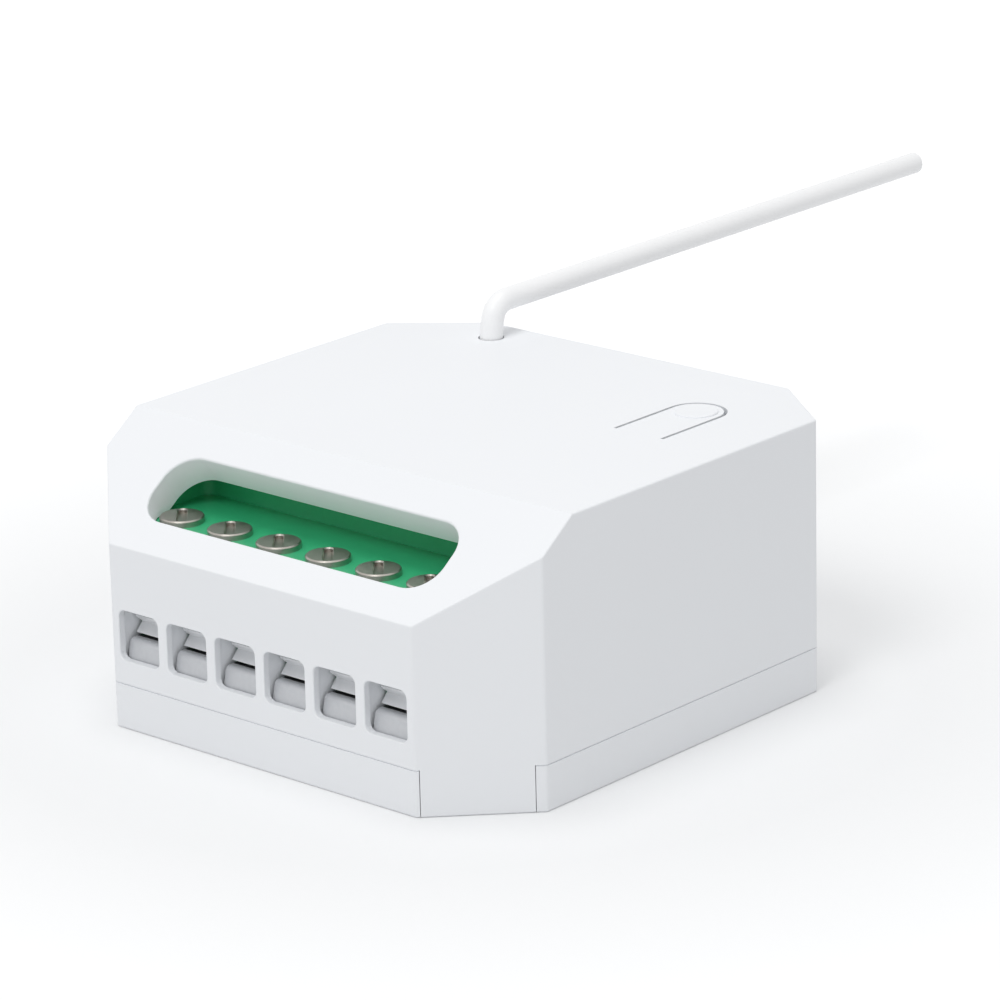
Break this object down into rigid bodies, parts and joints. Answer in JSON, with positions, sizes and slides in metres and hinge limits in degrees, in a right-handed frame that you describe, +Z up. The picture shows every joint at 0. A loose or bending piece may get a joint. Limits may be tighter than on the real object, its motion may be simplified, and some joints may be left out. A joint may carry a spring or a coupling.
{
  "type": "radio receiver",
  "caption": "Flush-mount radio receiver module with a row of screw terminals under a sloped window, a tongue push button and a stiff wire antenna.",
  "frame": {"origin": "middle of the housing's underside", "axes": "+Z up, the wire entries face -Y, the antenna runs back along +Y"},
  "size_m": [0.0438, 0.0961, 0.0254],
  "materials": {
    "white_plastic": "fine matt moulding",
    "green_plastic": "satin moulding",
    "screw_steel": "plated, worn slot",
    "clamp_steel": "zinc plated",
    "tinned_brass": "tin plated",
    "tinned_steel": "tin plated",
    "copper_alloy": "bare",
    "copper_wire": "enamelled winding",
    "board_laminate": "solder mask",
    "black_plastic": "matt moulding",
    "relay_blue": "satin moulding",
    "wire_sleeve": "satin insulation",
    "ferrite": "sintered",
    "coil_tape": "tape",
    "dark_sleeve": "shrink sleeve",
    "film_box": "moulded box",
    "varistor_coat": "dipped coating",
    "resistor_coat": "lacquer"
  },
  "bodies": {
    "housing": {"upper_shell": "white_plastic", "base_cover": "white_plastic", "terminal_housing": "green_plastic", "circuit_board": "board_laminate", "radio_board": "board_laminate", "switch_body": "black_plastic", "switch_legs": "tinned_steel", "antenna_wire": "wire_sleeve", "antenna_lead": "wire_sleeve", "radio_shield": "tinned_steel", "transformer_core": "ferrite", "transformer_coil": "coil_tape", "main_capacitor": "dark_sleeve", "output_capacitor": "dark_sleeve", "film_capacitor": "film_box", "varistor": "varistor_coat", "fuse_resistor": "resistor_coat", "controller_chip": "black_plastic", "contact_bar_1": "tinned_brass", "contact_bar_2": "tinned_brass", "contact_bar_3": "tinned_brass", "contact_bar_4": "tinned_brass", "contact_bar_5": "tinned_brass", "contact_bar_6": "tinned_brass", "relay_1_case": "relay_blue", "relay_1_base": "black_plastic", "relay_1_coil": "copper_wire", "relay_1_core": "clamp_steel", "relay_1_yoke": "clamp_steel", "relay_1_fixed_contact": "copper_alloy", "relay_1_coil_pins": "tinned_steel", "relay_2_case": "relay_blue", "relay_2_base": "black_plastic", "relay_2_coil": "copper_wire", "relay_2_core": "clamp_steel", "relay_2_yoke": "clamp_steel", "relay_2_fixed_contact": "copper_alloy", "relay_2_coil_pins": "tinned_steel"},
    "screw_1": {"terminal_screw_1": "screw_steel"},
    "clamp_1": {"clamp_cage_1": "clamp_steel"},
    "screw_2": {"terminal_screw_2": "screw_steel"},
    "clamp_2": {"clamp_cage_2": "clamp_steel"},
    "screw_3": {"terminal_screw_3": "screw_steel"},
    "clamp_3": {"clamp_cage_3": "clamp_steel"},
    "screw_4": {"terminal_screw_4": "screw_steel"},
    "clamp_4": {"clamp_cage_4": "clamp_steel"},
    "screw_5": {"terminal_screw_5": "screw_steel"},
    "clamp_5": {"clamp_cage_5": "clamp_steel"},
    "screw_6": {"terminal_screw_6": "screw_steel"},
    "clamp_6": {"clamp_cage_6": "clamp_steel"},
    "button": {"button_tongue": "white_plastic"},
    "plunger": {"switch_plunger": "black_plastic"},
    "armature_1": {"relay_1_armature": "clamp_steel", "relay_1_contact_spring": "copper_alloy"},
    "armature_2": {"relay_2_armature": "clamp_steel", "relay_2_contact_spring": "copper_alloy"}
  },
  "joints": [
    {"name": "screw_1_turn", "type": "hinge", "parent": "housing", "child": "screw_1", "pos_m": [-0.0125, -0.0166, 0.0155], "axis": [0, 0, 1], "range_deg": [-200.05, 1440.05]},
    {"name": "clamp_1_lift", "type": "slide", "parent": "housing", "child": "clamp_1", "axis": [0, 0, 1], "range_m": [-0.0018, 0.00025]},
    {"name": "screw_2_turn", "type": "hinge", "parent": "housing", "child": "screw_2", "pos_m": [-0.0075, -0.0166, 0.0155], "axis": [0, 0, 1], "range_deg": [-200.05, 1440.05]},
    {"name": "clamp_2_lift", "type": "slide", "parent": "housing", "child": "clamp_2", "axis": [0, 0, 1], "range_m": [-0.0018, 0.00025]},
    {"name": "screw_3_turn", "type": "hinge", "parent": "housing", "child": "screw_3", "pos_m": [-0.0025, -0.0166, 0.0155], "axis": [0, 0, 1], "range_deg": [-200.05, 1440.05]},
    {"name": "clamp_3_lift", "type": "slide", "parent": "housing", "child": "clamp_3", "axis": [0, 0, 1], "range_m": [-0.0018, 0.00025]},
    {"name": "screw_4_turn", "type": "hinge", "parent": "housing", "child": "screw_4", "pos_m": [0.0025, -0.0166, 0.0155], "axis": [0, 0, 1], "range_deg": [-200.05, 1440.05]},
    {"name": "clamp_4_lift", "type": "slide", "parent": "housing", "child": "clamp_4", "axis": [0, 0, 1], "range_m": [-0.0018, 0.00025]},
    {"name": "screw_5_turn", "type": "hinge", "parent": "housing", "child": "screw_5", "pos_m": [0.0075, -0.0166, 0.0155], "axis": [0, 0, 1], "range_deg": [-200.05, 1440.05]},
    {"name": "clamp_5_lift", "type": "slide", "parent": "housing", "child": "clamp_5", "axis": [0, 0, 1], "range_m": [-0.0018, 0.00025]},
    {"name": "screw_6_turn", "type": "hinge", "parent": "housing", "child": "screw_6", "pos_m": [0.0125, -0.0166, 0.0155], "axis": [0, 0, 1], "range_deg": [-200.05, 1440.05]},
    {"name": "clamp_6_lift", "type": "slide", "parent": "housing", "child": "clamp_6", "axis": [0, 0, 1], "range_m": [-0.0018, 0.00025]},
    {"name": "button_press", "type": "hinge", "parent": "housing", "child": "button", "pos_m": [0.01345, 0.0058, 0.0217], "axis": [-1, 0, 0], "range_deg": [0, 2.11], "stiffness_Nm_per_rad": 0.00001, "springref_deg": -14.32},
    {"name": "plunger_press", "type": "slide", "parent": "housing", "child": "plunger", "axis": [0, 0, -1], "range_m": [0, 0.00025], "stiffness_N_per_m": 150, "springref_m": -0.00002},
    {"name": "armature_1_tilt", "type": "hinge", "parent": "housing", "child": "armature_1", "pos_m": [-0.0159, 0.0039, 0.0149], "axis": [1, 0, 0], "range_deg": [0, 4.4], "stiffness_Nm_per_rad": 0.01},
    {"name": "armature_2_tilt", "type": "hinge", "parent": "housing", "child": "armature_2", "pos_m": [-0.0084, 0.0039, 0.0149], "axis": [1, 0, 0], "range_deg": [0, 4.4], "stiffness_Nm_per_rad": 0.01}
  ],
  "couplings": [
    {"joint": "screw_1_turn", "follows": "clamp_1_lift", "rad_per_m": -13963},
    {"joint": "screw_2_turn", "follows": "clamp_2_lift", "rad_per_m": -13963},
    {"joint": "screw_3_turn", "follows": "clamp_3_lift", "rad_per_m": -13963},
    {"joint": "screw_4_turn", "follows": "clamp_4_lift", "rad_per_m": -13963},
    {"joint": "screw_5_turn", "follows": "clamp_5_lift", "rad_per_m": -13963},
    {"joint": "screw_6_turn", "follows": "clamp_6_lift", "rad_per_m": -13963},
    {"joint": "button_press", "follows": "plunger_press", "rad_per_m": 147.06}
  ]
}
